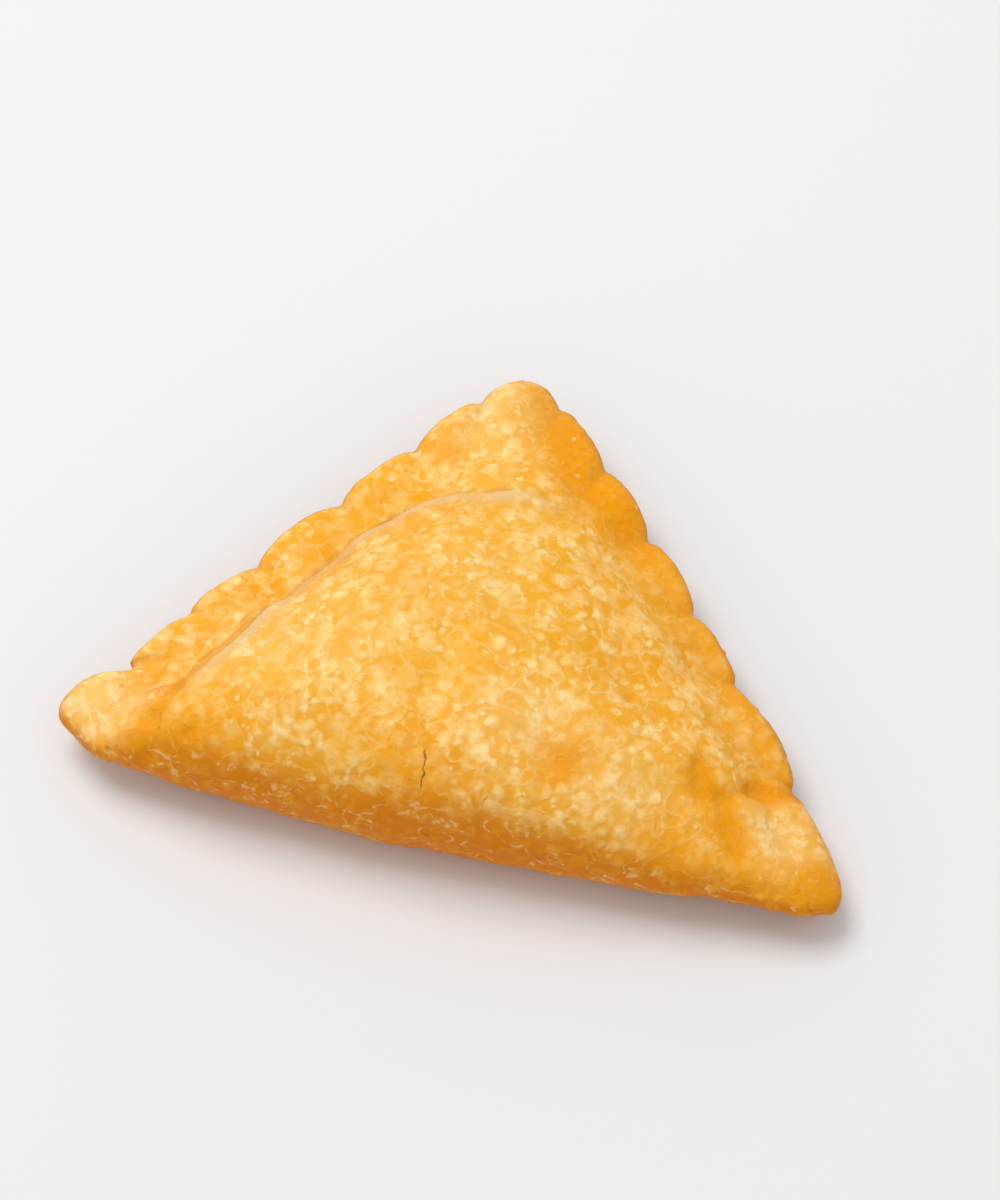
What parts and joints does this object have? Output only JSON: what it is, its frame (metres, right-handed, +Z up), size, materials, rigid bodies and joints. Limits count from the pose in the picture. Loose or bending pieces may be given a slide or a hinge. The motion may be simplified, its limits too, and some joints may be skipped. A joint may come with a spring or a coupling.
{
  "type": "samosa",
  "caption": "Triangular fried pastry turnover with a smooth folded side, pinched and scalloped edges, and a puffed middle over its filling.",
  "frame": {"origin": "middle of the plan, on the surface that the samosa rests on", "axes": "+X along the folded side, towards the corner at the viewer's right; +Y from the folded side towards the apex; +Z up, out of the puffed top"},
  "size_m": [0.0972, 0.0656, 0.0208],
  "materials": {
    "fried_crust": "golden fried pastry with fine blisters and a thin film of oil"
  },
  "bodies": {
    "root": {"pastry": "fried_crust"}
  },
  "joints": []
}
